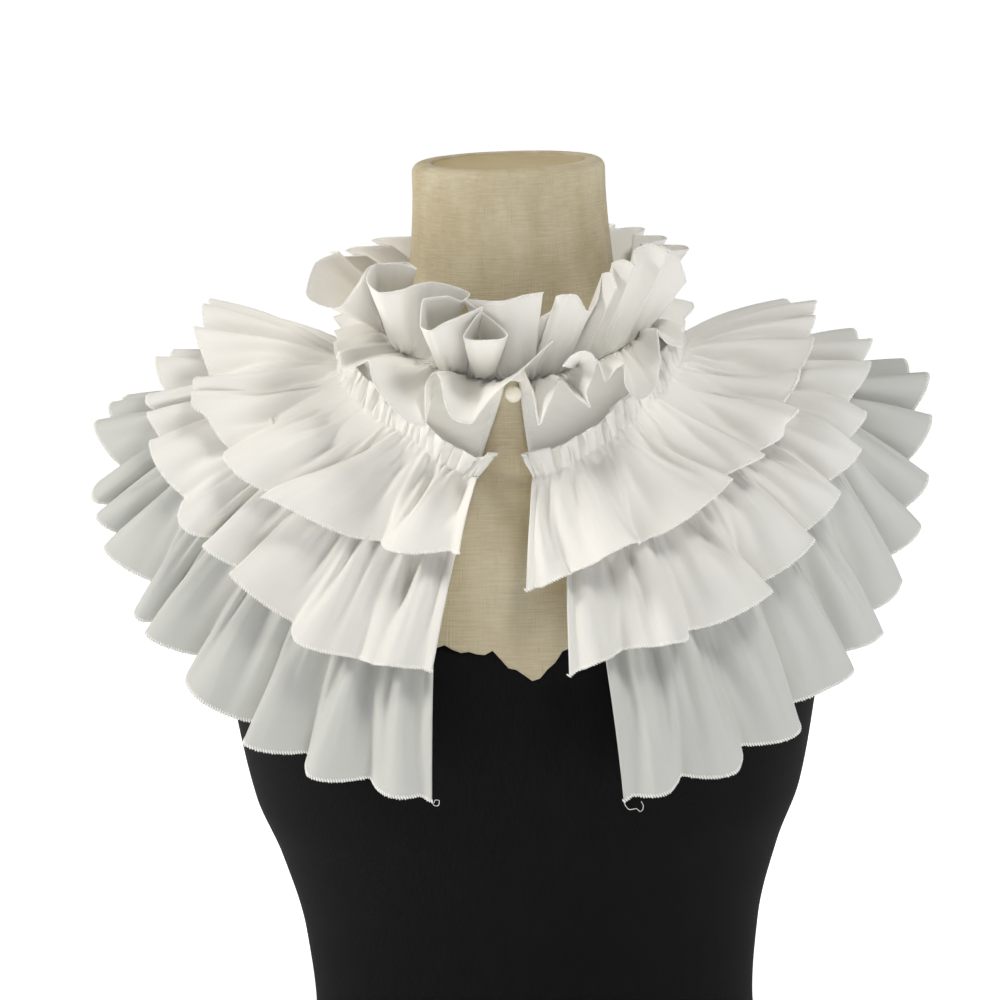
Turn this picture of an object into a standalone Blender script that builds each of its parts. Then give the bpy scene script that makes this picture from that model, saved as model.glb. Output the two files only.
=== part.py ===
"""A three-tier gathered ruff collar of white cotton, fastened at the throat, on a limbless dress form.

Metres, +Z up, the front faces -Y and +X is on the viewer's right. The origin is at the middle of the
form's flat base. An azimuth is turned about the form's axis: 0 at the front, 90 at +X, 180 at the back.
"""

import math

import bmesh
import bpy
import numpy as np
from mathutils import Matrix, Vector
from mathutils.bvhtree import BVHTree

MM = 0.001

# Driving sizes, in millimetres
CLOTH = 1.2
SEAM_GAP = 0.35
YOKE_LIFT = 2.0
SEAM_GATHER = 1.6
FACET_ROOM = 0.5
YOKE_EDGE = 3.0
TIER_1_HEADER = 7.0
BEAD_SEAT = 0.42
FORM_HEIGHT = 700.0
LINEN_EDGE = 447.0
FORM_ROUNDNESS = 2.15
FORM_SIDES = 44
LAYER_GAP = 4.0
BESIDE_EDGE = 0.6
RIM_RADIUS = 5.0
CAP_RADIUS = 41.5
BEAD_DIAMETER = 9.0
CURVE_STEPS = 600

# The dress form: a row for each level, from the base to the neck's top
FORM_COLUMNS = ("height", "half_width", "front", "back")
FORM_LEVELS = (
    (0, 158, 98, 112),
    (70, 160, 98, 112),
    (140, 148, 90, 98),
    (212, 127, 78, 76),
    (262, 131, 83, 77),
    (310, 143, 93, 82),
    (345, 156, 102, 87),
    (395, 165, 109, 92),
    (450, 173, 104, 95),
    (500, 179, 92, 93),
    (535, 179, 80, 88),
    (552, 171, 74, 84),
    (563, 154, 70, 81),
    (573, 131, 66, 77),
    (583, 108, 63, 72),
    (594, 86, 61, 67),
    (605, 71, 60, 63),
    (620, 61, 59, 60),
    (645, 56, 56, 57),
    (690, 53, 52, 53),
    (700, 53, 52, 53),
)

# Where the yoke meets the form: heights of the neck seam and of the three gather lines
SEAM_COLUMNS = ("azimuth", "neck", "tier_1", "tier_2", "tier_3")
SEAM_LEVELS = (
    (0, 589, 542, 503, 458),
    (25, 592, 548, 508, 464),
    (50, 599, 564, 532, 497),
    (72, 607, 581, 562, 541),
    (90, 613, 590, 577, 563),
    (110, 616, 588, 573, 557),
    (135, 620, 583, 556, 525),
    (180, 625, 584, 543, 497),
)
# The azimuths of the yoke's two front edges at the neck seam and at the three gather lines
FRONT_EDGE_COLUMNS = ("left", "right")
FRONT_EDGES = ((-3.5, 1.5), (-15, 5.5), (-20, 15), (-25, 22))

# Each frill's hem, round the back from the left front edge to the right one
HEM_COLUMNS = ("azimuth", "reach", "height")
TIER_1_HEM = (
    (-15, 127, 511), (-27, 132, 509), (-40, 139, 515), (-53, 148, 524), (-64, 157, 533),
    (-75, 167, 552), (-83, 174, 573), (-90, 178, 596), (-98, 180, 616), (-106, 180, 621),
    (-119, 172, 606), (-137, 154, 571), (-158, 135, 543), (180, 129, 534),
    (158, 135, 543), (138, 149, 566), (121, 166, 598), (107, 174, 614), (98, 172, 613),
    (90, 166, 598), (82, 160, 576), (74, 154, 554), (65, 146, 540), (55, 139, 531),
    (42, 129, 514), (28, 122, 505), (12, 117, 491), (1, 116, 486),
)
TIER_2_HEM = (
    (-20, 141, 449), (-33, 150, 452), (-45, 160, 457), (-53, 169, 474), (-62, 180, 498),
    (-70, 190, 514), (-79, 198, 536), (-85, 203, 558), (-91, 207, 573), (-98, 210, 586),
    (-107, 210, 591), (-121, 200, 569), (-139, 174, 518), (-160, 150, 485), (180, 143, 477),
    (160, 150, 485), (139, 171, 518), (122, 194, 562), (109, 204, 590), (100, 205, 592),
    (93, 200, 580), (87, 193, 560), (81, 186, 543), (74, 178, 524), (66, 169, 500),
    (58, 160, 480), (50, 153, 467), (39, 145, 456), (24, 137, 454), (10, 133, 443),
)
TIER_3_HEM = (
    (-19, 156, 382), (-32, 165, 386), (-44, 178, 395), (-54, 191, 409), (-63, 205, 434),
    (-72, 218, 459), (-81, 229, 484), (-88, 238, 511), (-95, 245, 538), (-103, 247, 557),
    (-112, 241, 561), (-125, 222, 527), (-142, 190, 460), (-161, 162, 422), (180, 154, 414),
    (161, 162, 422), (143, 187, 460), (127, 218, 525), (114, 240, 566), (105, 245, 570),
    (100, 242, 543), (96, 236, 512), (91, 226, 482), (87, 214, 454), (80, 203, 434),
    (71, 190, 419), (61, 178, 401), (50, 167, 388), (36, 156, 379), (20, 149, 376),
)
NECK_UPPER_HEM = (
    (10, 91, 638), (-3, 92, 637), (-19, 95, 640), (-36, 99, 654), (-53, 103, 658), (-71, 112, 653),
    (-92, 116, 642), (-114, 110, 654), (-139, 101, 667), (180, 94, 668), (140, 101, 667),
    (115, 106, 660), (92, 109, 646), (70, 106, 645), (49, 100, 652), (32, 97, 648),
    (22, 95, 639), (15, 93, 637),
)
NECK_LOWER_HEM = (
    (-6, 100, 585), (-23, 114, 580), (-44, 122, 597), (-66, 125, 615), (-90, 127, 623),
    (-119, 121, 622), (-149, 112, 613), (180, 107, 609), (151, 110, 612), (121, 115, 619),
    (90, 119, 623), (65, 116, 617), (40, 112, 594), (18, 110, 581), (2, 103, 578),
)

# Fold widths along the hem, from each front edge outwards. The back is filled with even folds
TIER_1_LEFT = (47, 55, 32, 34, 30, 27, 28, 30)
TIER_1_RIGHT = (22, 36, 50, 28, 32, 30, 30, 28)
TIER_2_LEFT = (36, 42, 27, 48, 32, 37, 30, 28, 30)
TIER_2_RIGHT = (22, 36, 50, 42, 32, 30, 32, 32, 30)
TIER_3_LEFT = (38, 40, 50, 44, 38, 31, 40, 36, 32, 36)
TIER_3_RIGHT = (42, 40, 36, 34, 32, 36, 34, 32, 34, 34, 34)
NECK_LEFT = (26, 30, 24, 28, 22, 26)
NECK_RIGHT = (20, 26, 22, 28, 24, 26)

# A fold is a flat crest, a step, a flat valley and a step: (share of the fold, height from 0 to 1)
FOLD_PROFILE = ((0.08, 1.0), (0.42, 1.0), (0.60, 0.0), (0.90, 0.0))


def clear_scene():
    for item in list(bpy.data.objects):
        bpy.data.objects.remove(item, do_unlink=True)


def finish(name, colour, roughness):
    """A Principled BSDF of this colour and roughness."""
    material = bpy.data.materials.new(name)
    material.use_nodes = True
    shader = material.node_tree.nodes["Principled BSDF"]
    shader.inputs["Base Color"].default_value = (*colour, 1.0)
    shader.inputs["Roughness"].default_value = roughness
    shader.inputs["Metallic"].default_value = 0.0
    return material


def column(table, names, name):
    return np.array([row[names.index(name)] for row in table], float)


def smooth(x, xs, ys):
    """A smooth curve through the points xs, ys that never overshoots between two of them."""
    steps = np.diff(xs)
    slopes = np.diff(ys) / steps
    tangents = np.zeros(len(xs))
    same_way = slopes[:-1] * slopes[1:] > 0
    inner = 2 * slopes[:-1] * slopes[1:] / np.where(same_way, slopes[:-1] + slopes[1:], 1.0)
    tangents[1:-1] = np.where(same_way, inner, 0.0)
    tangents[0], tangents[-1] = slopes[0], slopes[-1]
    i = np.clip(np.searchsorted(xs, x) - 1, 0, len(steps) - 1)
    t = np.clip((x - xs[i]) / steps[i], 0.0, 1.0)
    start, end = ys[i], ys[i + 1]
    lead, trail = tangents[i] * steps[i], tangents[i + 1] * steps[i]
    return (
        start * (2 * t**3 - 3 * t**2 + 1) + end * (3 * t**2 - 2 * t**3)
        + lead * (t**3 - 2 * t**2 + t) + trail * (t**3 - t**2)
    )


def around(azimuth, reach, height):
    """Points at this azimuth in degrees, distance from the axis and height."""
    turn = np.radians(azimuth)
    azimuth, reach, height = np.broadcast_arrays(turn, reach, height)
    return np.stack([reach * np.sin(azimuth), -reach * np.cos(azimuth), height], axis=-1)


def form_reach(azimuth, height):
    """Distance from the axis to the form's surface."""
    levels = column(FORM_LEVELS, FORM_COLUMNS, "height")
    half_width, front, back = (
        smooth(height, levels, column(FORM_LEVELS, FORM_COLUMNS, name))
        for name in ("half_width", "front", "back")
    )
    turn = np.radians(azimuth)
    depth = np.where(np.cos(turn) > 0, front, back)
    across = (np.abs(np.sin(turn)) / half_width) ** FORM_ROUNDNESS
    along = (np.abs(np.cos(turn)) / depth) ** FORM_ROUNDNESS
    return (across + along) ** (-1 / FORM_ROUNDNESS)


def on_form(azimuth, height, lift):
    """Points this far out from the form's surface, along its normal."""
    azimuth, height = np.broadcast_arrays(np.asarray(azimuth, float), np.asarray(height, float))
    here = around(azimuth, form_reach(azimuth, height), height)
    side = around(azimuth + 1, form_reach(azimuth + 1, height), height) - here
    rise = around(azimuth, form_reach(azimuth, height + 1), height + 1) - here
    normal = np.cross(side, rise)
    return here + lift * normal / np.linalg.norm(normal, axis=-1, keepdims=True)


def seam_height(azimuth, line):
    """Height of the neck seam or a gather line at each azimuth."""
    azimuths = column(SEAM_LEVELS, SEAM_COLUMNS, "azimuth")
    return smooth(np.abs(azimuth), azimuths, column(SEAM_LEVELS, SEAM_COLUMNS, line))


def round_the_back(line, count):
    """Azimuths from the left front edge of a seam round the back to the right front edge."""
    left, right = FRONT_EDGES[SEAM_COLUMNS.index(line) - 1]
    return np.linspace(left, right - 360.0, count)


def evenly_spaced(points, count=CURVE_STEPS):
    """The same open curve with its points a constant length apart."""
    lengths = np.concatenate([[0], np.cumsum(np.linalg.norm(np.diff(points, axis=0), axis=1))])
    wanted = np.linspace(0, lengths[-1], count)
    return np.stack([np.interp(wanted, lengths, points[:, k]) for k in range(3)], axis=-1), lengths[-1]


def gather_curve(line, lift):
    azimuth = round_the_back(line, CURVE_STEPS)
    turned = (azimuth + 180.0) % 360.0 - 180.0
    return evenly_spaced(on_form(turned, seam_height(turned, line), lift))


def table_curve(table):
    """A smooth open curve through the rows of a hem table."""
    rows = np.array(table, float)
    azimuths = np.unwrap(rows[:, 0], period=360.0)
    along = np.arange(len(rows), dtype=float)
    fine = np.linspace(0, len(rows) - 1, CURVE_STEPS)
    return evenly_spaced(around(*(smooth(fine, along, ys) for ys in (azimuths, rows[:, 1], rows[:, 2]))))


def at(curve, u):
    """Points of an evenly spaced curve at shares u of its length."""
    share = np.linspace(0, 1, len(curve))
    return np.stack([np.interp(u, share, curve[:, k]) for k in range(3)], axis=-1)


def fold_columns(length, left, right, back_width, depth, seed):
    """(share of the length, drop below the crest) for each corner of each fold."""
    uneven = np.random.default_rng(seed)
    back = length - sum(left) - sum(right)
    count = max(1, round(back / back_width))
    widths = 1 + 0.18 * uneven.uniform(-1, 1, count)
    widths = widths * back / widths.sum()
    places, drops, start = [0.0], [0.0], 0.0
    for width in (*left, *widths, *reversed(right)):
        deep = depth * min(1.0, width / back_width) * uneven.uniform(0.75, 1.1)
        for share, height in FOLD_PROFILE:
            places.append(start + share * width)
            drops.append(deep * (1 - height))
        start += width
    places[-1] = start
    drops[-1] = 0.4 * drops[-1]
    return np.array(places) / start, np.array(drops)


def across_grid(grid):
    """Unit normals of a grid of points, pointing out of the collar."""
    along = np.gradient(grid, axis=1)
    down = np.gradient(grid, axis=0)
    normal = np.cross(along, down)
    return normal / np.linalg.norm(normal, axis=-1, keepdims=True)


def grid_faces(grid):
    """The quads of a grid of points, facing out of the collar."""
    rows, columns = grid.shape[:2]
    return [
        (r * columns + c, r * columns + c + 1, (r + 1) * columns + c + 1, (r + 1) * columns + c)
        for r in range(rows - 1)
        for c in range(columns - 1)
    ]


def keep_clear(grid, layers, room=0.0):
    """The grid with each point moved out until it is this far above each (surface, distance) below it.

    Rows further from the seam stay a share of room further above it, which leaves their folds a place.
    """
    share = np.linspace(0.0, 1.0, len(grid))
    for surface, distance in layers:
        tree = BVHTree.FromPolygons(surface.reshape(-1, 3).tolist(), grid_faces(surface))
        for row, extra in zip(grid, room * share):
            for point in row:
                spot, normal, _, away = tree.find_nearest(Vector(point))
                above = (Vector(point) - spot).dot(normal)
                if above < distance + extra and abs(above) > BESIDE_EDGE * away:
                    point += np.array(normal) * (distance + extra - above)
    return grid


def form_surface():
    """A fine grid over the linen-covered form, from the neck down."""
    heights = np.linspace(FORM_HEIGHT - RIM_RADIUS, LINEN_EDGE - 30, 90)
    azimuth = np.linspace(0, -360, 145)
    return np.array([on_form(azimuth, height, 0.0) for height in heights])


def wall(name, grid, material, thickness=CLOTH):
    """A closed wall of cloth of even thickness about a grid of points in millimetres."""
    mesh = bpy.data.meshes.new(name)
    mesh.from_pydata((grid.reshape(-1, 3) * MM).tolist(), [], grid_faces(grid))
    mesh.materials.append(material)
    mesh.shade_smooth()
    piece = bpy.data.objects.new(name, mesh)
    bpy.context.collection.objects.link(piece)
    cloth = piece.modifiers.new("cloth thickness", "SOLIDIFY")
    cloth.thickness = thickness * MM
    cloth.offset = 0.0
    return piece


def turned_shares(curve):
    """Shares of a curve's length at which it passes the left side, the back and the right side."""
    azimuth = np.degrees(np.unwrap(np.arctan2(curve[:, 0], -curve[:, 1])))
    return [0.0, *np.interp([95.0, 180.0, 265.0], -azimuth, np.linspace(0, 1, len(curve))), 1.0]


def matched(curve, guide, places):
    """Points of a curve at the same turns about the form as these places on its guide."""
    return at(curve, np.interp(places, turned_shares(guide), turned_shares(curve)))


def crest_surface(seam, hem, shares, places, belly, guide=None):
    """The surface through a frill's crests: a row for each share of its width, from the seam to the hem.

    The places are shares of the guide's length, which is the hem's own unless another is given.
    """
    guide = hem if guide is None else guide
    top, bottom = matched(seam, guide, places), matched(hem, guide, places)
    rows = np.array([top + (bottom - top) * share for share in shares])
    rise = np.array([belly * 4 * share * (1 - share) for share in shares])
    return rows + across_grid(rows) * rise[:, None, None]


def folded(crests, shares, drops):
    """The crest surface with its valleys let down."""
    share = np.array(shares)[:, None]
    depth = SEAM_GATHER * np.sign(drops) * (1 - share) + drops * share
    return crests - across_grid(crests) * depth[:, :, None]


def seam_lift():
    """How far the crest of a gathered seam stands off the form."""
    return YOKE_LIFT + CLOTH + SEAM_GAP + SEAM_GATHER


def tier(name, line, hem_table, left, right, back_width, depth, seed, material, below, header=0.0):
    """One gathered tier, with a small frill above its gather line where header is its height.

    It returns the surface through the crests of its folds, which the next tier lies on.
    """
    seam, _ = gather_curve(line, seam_lift())
    hem, length = table_curve(hem_table)
    places, drops = fold_columns(length, left, right, back_width, depth, seed)
    shares = (0.0, 0.24, 0.58, 1.0)
    crests = keep_clear(crest_surface(seam, hem, shares, places, belly=4.0), below, room=depth)
    grid = folded(crests, shares, drops)
    if header:
        azimuth = np.degrees(np.arctan2(grid[0][:, 0], -grid[0][:, 1]))
        neck = on_form(azimuth, seam_height(azimuth, "neck"), seam_lift())
        upward = neck - grid[0]
        upward *= header / np.linalg.norm(upward, axis=1, keepdims=True)
        outward = across_grid(np.array([grid[0] + upward, grid[0]]))[0]
        ripple = np.where(drops > 0, 0.5, 3.5)
        grid = np.concatenate([(grid[0] + upward + outward * ripple[:, None])[None], grid])
        crests = np.concatenate([(crests[0] + upward + outward * 3.5)[None], crests])
    wall(name, keep_clear(grid, below), material)
    return crests


def neck_ruffle(material, below):
    """The doubled frill at the neck: one strip gathered along its middle, so that both edges flare."""
    line, _ = gather_curve("neck", seam_lift() + FACET_ROOM / 2)
    upper, length = table_curve(NECK_UPPER_HEM)
    lower, _ = table_curve(NECK_LOWER_HEM)
    places, drops = fold_columns(length, NECK_LEFT, NECK_RIGHT, 25.0, 14.0, 12)
    rise, fall = (1.0, 0.5), (0.0, 0.5, 1.0)
    standing = crest_surface(line, upper, rise, places, belly=-8.0)
    lying = crest_surface(line, lower, fall, places, -2.0, upper)
    keep_clear(lying[1:], below, room=8.0)
    grid = folded(np.concatenate([standing, lying]), rise + fall, drops)
    keep_clear(grid[len(rise) + 1:], below)
    return wall("neck_ruffle", grid, material)


def yoke(material):
    """The plain cape that lies on the shoulders and carries the frills."""
    lines = SEAM_COLUMNS[1:]
    share = np.linspace(0, len(lines) - 1, 11)
    columns = 53
    grid = []
    for t in share:
        edges = [
            float(smooth(np.array(t), np.arange(4.0), column(FRONT_EDGES, FRONT_EDGE_COLUMNS, side)))
            for side in FRONT_EDGE_COLUMNS
        ]
        azimuth = np.linspace(edges[0], edges[1] - 360.0, CURVE_STEPS)
        azimuth = (azimuth + 180.0) % 360.0 - 180.0
        above = int(min(t, 2))
        heights = [seam_height(azimuth, line) for line in lines[above:above + 2]]
        height = heights[0] + (heights[1] - heights[0]) * (t - above) + YOKE_EDGE * max(0.0, 1.0 - t)
        row, _ = evenly_spaced(on_form(azimuth, height, YOKE_LIFT), columns)
        grid.append(row)
    return wall("yoke", np.array(grid), material)


def loft(name, rings, material):
    """A closed solid through rings of points, from the lowest to the highest."""
    builder = bmesh.new()
    loops = [[builder.verts.new(point * MM) for point in ring] for ring in rings]
    sides = len(rings[0])
    for low, high in zip(loops, loops[1:]):
        for k in range(sides):
            after = (k + 1) % sides
            builder.faces.new((low[k], low[after], high[after], high[k]))
    builder.faces.new(loops[0][::-1])
    builder.faces.new(loops[-1])
    bmesh.ops.recalc_face_normals(builder, faces=builder.faces)
    mesh = bpy.data.meshes.new(name)
    builder.to_mesh(mesh)
    builder.free()
    mesh.materials.append(material)
    mesh.shade_smooth()
    mesh.set_sharp_from_angle(angle=math.radians(50))
    piece = bpy.data.objects.new(name, mesh)
    bpy.context.collection.objects.link(piece)
    return piece


def form_ring(height, inset=0.0):
    azimuth = np.arange(FORM_SIDES) * 360.0 / FORM_SIDES
    return around(azimuth, form_reach(azimuth, np.full(FORM_SIDES, height)) - inset, height)


def form_body(material):
    """The black jersey body below the linen, down to the flat base it stands on."""
    levels = (2, 40, 80, 115, 150, 182, 212, 240, 266, 290, 315, 345, 375, 410, LINEN_EDGE - SEAM_GAP)
    rings = [form_ring(0.0, inset=3.0)] + [form_ring(height) for height in levels]
    return loft("form_body", rings, material)


def form_bust(material):
    """The linen-covered chest, shoulders and neck, with a rounded rim and a shallow well for the cap."""
    levels = (
        LINEN_EDGE, 480, 510, 530, 542, 550, 557, 563, 568, 573, 578, 583, 588, 594, 600, 607,
        616, 628, 645, 668, FORM_HEIGHT - RIM_RADIUS,
    )
    rings = [form_ring(height) for height in levels]
    for turn in (30, 60, 90):
        inset = RIM_RADIUS * (1 - math.cos(math.radians(turn)))
        rise = RIM_RADIUS * math.sin(math.radians(turn))
        ring = form_ring(FORM_HEIGHT - RIM_RADIUS, inset=inset)
        ring[:, 2] += rise
        rings.append(ring)
    azimuth = np.arange(FORM_SIDES) * 360.0 / FORM_SIDES
    rings.append(around(azimuth, CAP_RADIUS + SEAM_GAP, FORM_HEIGHT))
    rings.append(around(azimuth, CAP_RADIUS + SEAM_GAP, FORM_HEIGHT - 3.0))
    return loft("form_bust", rings, material)


def form_cap(material):
    """The disc let into the top of the neck."""
    azimuth = np.arange(FORM_SIDES) * 360.0 / FORM_SIDES
    low, high = FORM_HEIGHT - 3.0 + SEAM_GAP, FORM_HEIGHT - 1.0
    rings = [around(azimuth, CAP_RADIUS - edge, height) for edge, height in ((0, low), (0, high - 0.6), (0.8, high))]
    return loft("form_cap", rings, material)


def bead_place():
    """The middle of the pearl bead, just clear of the yoke's fastened edges."""
    height = float(seam_height(np.array(0.0), "neck")) - 8.0
    azimuth = sum(FRONT_EDGES[0]) / 2
    return on_form(azimuth, height, YOKE_LIFT + CLOTH / 2 + BEAD_SEAT * BEAD_DIAMETER)


def pearl_button(material):
    mesh = bpy.data.meshes.new("pearl_button")
    builder = bmesh.new()
    bmesh.ops.create_uvsphere(builder, u_segments=16, v_segments=10, radius=BEAD_DIAMETER / 2 * MM)
    builder.to_mesh(mesh)
    builder.free()
    mesh.materials.append(material)
    mesh.shade_smooth()
    bead = bpy.data.objects.new("pearl_button", mesh)
    bead.matrix_world = Matrix.Translation(bead_place() * MM)
    bpy.context.collection.objects.link(bead)
    return bead


def main():
    clear_scene()
    cotton = finish("white cotton", (0.82, 0.80, 0.76), 0.85)
    linen = finish("natural linen", (0.52, 0.44, 0.30), 0.9)
    jersey = finish("black jersey", (0.012, 0.012, 0.014), 0.85)
    board = finish("varnished board", (0.42, 0.33, 0.18), 0.6)
    pearl = finish("cream pearl", (0.86, 0.80, 0.68), 0.15)
    form_body(jersey)
    form_bust(linen)
    form_cap(board)
    yoke(cotton)
    on_yoke = (form_surface(), YOKE_LIFT + CLOTH + SEAM_GAP + FACET_ROOM)
    crests = tier("tier_3", "tier_3", TIER_3_HEM, TIER_3_LEFT, TIER_3_RIGHT, 38.0, 16.0, 3, cotton, [on_yoke])
    on_tier = [on_yoke, (crests, LAYER_GAP)]
    crests = tier("tier_2", "tier_2", TIER_2_HEM, TIER_2_LEFT, TIER_2_RIGHT, 35.0, 12.0, 2, cotton, on_tier)
    on_tier = [on_yoke, (crests, LAYER_GAP)]
    crests = tier("tier_1", "tier_1", TIER_1_HEM, TIER_1_LEFT, TIER_1_RIGHT, 33.0, 12.0, 1, cotton, on_tier, TIER_1_HEADER)
    neck_ruffle(cotton, [(crests, LAYER_GAP)])
    pearl_button(pearl)


main()
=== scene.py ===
"""A ruff collar of crisp white cotton on a limbless dress form, as a finished Blender scene.

The collar is a plain yoke that carries three gathered tiers and, round the neck, one doubled ruffle.
Sizes in the tables are millimetres. +Z is up and the front faces -Y.
"""

import math

import bmesh
import bpy
import numpy as np
from mathutils import Matrix, Vector
from mathutils.bvhtree import BVHTree


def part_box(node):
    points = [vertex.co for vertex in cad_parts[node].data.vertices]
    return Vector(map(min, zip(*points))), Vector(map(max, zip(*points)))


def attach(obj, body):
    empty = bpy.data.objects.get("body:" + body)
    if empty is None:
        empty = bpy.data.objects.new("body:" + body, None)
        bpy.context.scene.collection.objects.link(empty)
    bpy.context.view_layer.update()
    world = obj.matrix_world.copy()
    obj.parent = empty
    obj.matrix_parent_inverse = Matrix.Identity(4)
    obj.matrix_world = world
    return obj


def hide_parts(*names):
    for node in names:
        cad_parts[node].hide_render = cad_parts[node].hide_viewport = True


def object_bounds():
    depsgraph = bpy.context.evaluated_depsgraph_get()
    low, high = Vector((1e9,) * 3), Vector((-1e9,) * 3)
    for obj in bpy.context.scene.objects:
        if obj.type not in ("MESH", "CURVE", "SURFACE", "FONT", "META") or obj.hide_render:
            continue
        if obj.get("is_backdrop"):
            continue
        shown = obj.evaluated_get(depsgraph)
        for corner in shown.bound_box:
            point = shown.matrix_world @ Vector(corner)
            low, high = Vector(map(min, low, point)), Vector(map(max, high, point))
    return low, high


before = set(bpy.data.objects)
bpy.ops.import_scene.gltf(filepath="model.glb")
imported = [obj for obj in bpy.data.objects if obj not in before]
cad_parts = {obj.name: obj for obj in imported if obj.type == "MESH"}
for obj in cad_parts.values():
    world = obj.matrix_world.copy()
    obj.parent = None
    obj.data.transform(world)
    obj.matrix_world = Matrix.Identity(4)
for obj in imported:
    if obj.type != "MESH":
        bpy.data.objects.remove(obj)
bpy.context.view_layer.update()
MM = 0.001


# The dress form's body
# A moulded shell below the chest, covered tightly in fine black jersey that is knitted in ribs.
# It is cut off flat at the hip, where it stands.

FORM_COLUMNS = ("height", "half_width", "front", "back")
FORM_LEVELS = (
    (0, 158, 98, 112),
    (70, 160, 98, 112),
    (140, 148, 90, 98),
    (212, 127, 78, 76),
    (262, 131, 83, 77),
    (310, 143, 93, 82),
    (345, 156, 102, 87),
    (395, 165, 109, 92),
    (450, 173, 104, 95),
    (500, 179, 92, 93),
    (535, 179, 80, 88),
    (552, 171, 74, 84),
    (563, 154, 70, 81),
    (573, 131, 66, 77),
    (583, 108, 63, 72),
    (594, 86, 61, 67),
    (605, 71, 60, 63),
    (620, 61, 59, 60),
    (645, 56, 56, 57),
    (690, 53, 52, 53),
    (700, 53, 52, 53),
)
FORM_HEIGHT = 700.0
FORM_ROUNDNESS = 2.15
FORM_SIDES = 160
FORM_TURNS = 180.0 - np.arange(FORM_SIDES + 1) * 360.0 / FORM_SIDES
CLOTH_PER_DEGREE = 2.6
ON_AXIS = (0.0, 0.0, 1.0)
ROUNDED_IN = (0.985, 0.985, 1.0)


def linear(hex_value):
    """An sRGB hex colour as linear red, green, blue and alpha."""
    parts = [int(hex_value[k:k + 2], 16) / 255 for k in (0, 2, 4)]
    return (*[c / 12.92 if c <= 0.04045 else ((c + 0.055) / 1.055) ** 2.4 for c in parts], 1.0)


def add(tree, kind, values=None, **settings):
    """One node with its settings. Each value is set, or linked where it is a socket."""
    node = tree.nodes.new(kind)
    for name, setting in settings.items():
        setattr(node, name, setting)
    for name, value in (values or {}).items():
        if isinstance(value, bpy.types.NodeSocket):
            tree.links.new(value, node.inputs[name])
        else:
            node.inputs[name].default_value = value
    return node


def finish(name, roughness):
    """A new material with its Principled BSDF: the material, its node tree and its shader."""
    material = bpy.data.materials.new(name)
    material.use_nodes = True
    shader = material.node_tree.nodes["Principled BSDF"]
    shader.inputs["Roughness"].default_value = roughness
    return material, material.node_tree, shader


def ramp(tree, factor, low, high, start=0.0, end=1.0):
    """A colour between two hex colours, by the Fac output of a texture."""
    node = add(tree, "ShaderNodeValToRGB", {"Fac": factor.outputs["Fac"]})
    for element, colour, position in zip(node.color_ramp.elements, (low, high), (start, end)):
        element.color = linear(colour)
        element.position = position
    return node.outputs["Color"]


def surface(tree, shader, colour, relief):
    """Links a colour and a bump node to a shader."""
    tree.links.new(colour, shader.inputs["Base Color"])
    tree.links.new(relief.outputs["Normal"], shader.inputs["Normal"])


def placed(name, data):
    """A new object with this data, in the scene."""
    thing = bpy.data.objects.new(name, data)
    bpy.context.collection.objects.link(thing)
    return thing


def column(name):
    return np.array([row[FORM_COLUMNS.index(name)] for row in FORM_LEVELS], float)


def smooth(x, xs, ys):
    """A smooth curve passing the points xs, ys that never overshoots between two of them."""
    steps = np.diff(xs)
    slopes = np.diff(ys) / steps
    tangents = np.zeros(len(xs))
    same_way = slopes[:-1] * slopes[1:] > 0
    inner = 2 * slopes[:-1] * slopes[1:] / np.where(same_way, slopes[:-1] + slopes[1:], 1.0)
    tangents[1:-1] = np.where(same_way, inner, 0.0)
    tangents[0], tangents[-1] = slopes[0], slopes[-1]
    i = np.clip(np.searchsorted(xs, x) - 1, 0, len(steps) - 1)
    t = np.clip((x - xs[i]) / steps[i], 0.0, 1.0)
    lead, trail = tangents[i] * steps[i], tangents[i + 1] * steps[i]
    return (
        ys[i] * (2 * t**3 - 3 * t**2 + 1) + ys[i + 1] * (3 * t**2 - 2 * t**3)
        + lead * (t**3 - 2 * t**2 + t) + trail * (t**3 - t**2)
    )


def around(azimuth, reach, height):
    """Points at this azimuth in degrees, distance from the axis and height. 0 degrees is the front."""
    turn, reach, height = np.broadcast_arrays(np.radians(azimuth), reach, height)
    return np.stack([reach * np.sin(turn), -reach * np.cos(turn), height], axis=-1)


def form_reach(azimuth, height):
    """Distance from the axis to the form's surface."""
    half_width, front, back = (
        smooth(height, column("height"), column(name)) for name in ("half_width", "front", "back")
    )
    turn = np.radians(azimuth)
    depth = np.where(np.cos(turn) > 0, front, back)
    across = (np.abs(np.sin(turn)) / half_width) ** FORM_ROUNDNESS
    along = (np.abs(np.cos(turn)) / depth) ** FORM_ROUNDNESS
    return (across + along) ** (-1 / FORM_ROUNDNESS)


def on_form(azimuth, height, lift):
    """Points this far out from the form's surface, along its normal."""
    azimuth, height = np.broadcast_arrays(np.asarray(azimuth, float), np.asarray(height, float))
    here = around(azimuth, form_reach(azimuth, height), height)
    side = around(azimuth + 1, form_reach(azimuth + 1, height), height) - here
    rise = around(azimuth, form_reach(azimuth, height + 1), height + 1) - here
    normal = np.cross(side, rise)
    return here + lift * normal / np.linalg.norm(normal, axis=-1, keepdims=True)


def grid_faces(grid):
    rows, columns = grid.shape[:2]
    return [
        (r * columns + c, r * columns + c + 1, (r + 1) * columns + c + 1, (r + 1) * columns + c)
        for r in range(rows - 1)
        for c in range(columns - 1)
    ]


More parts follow.
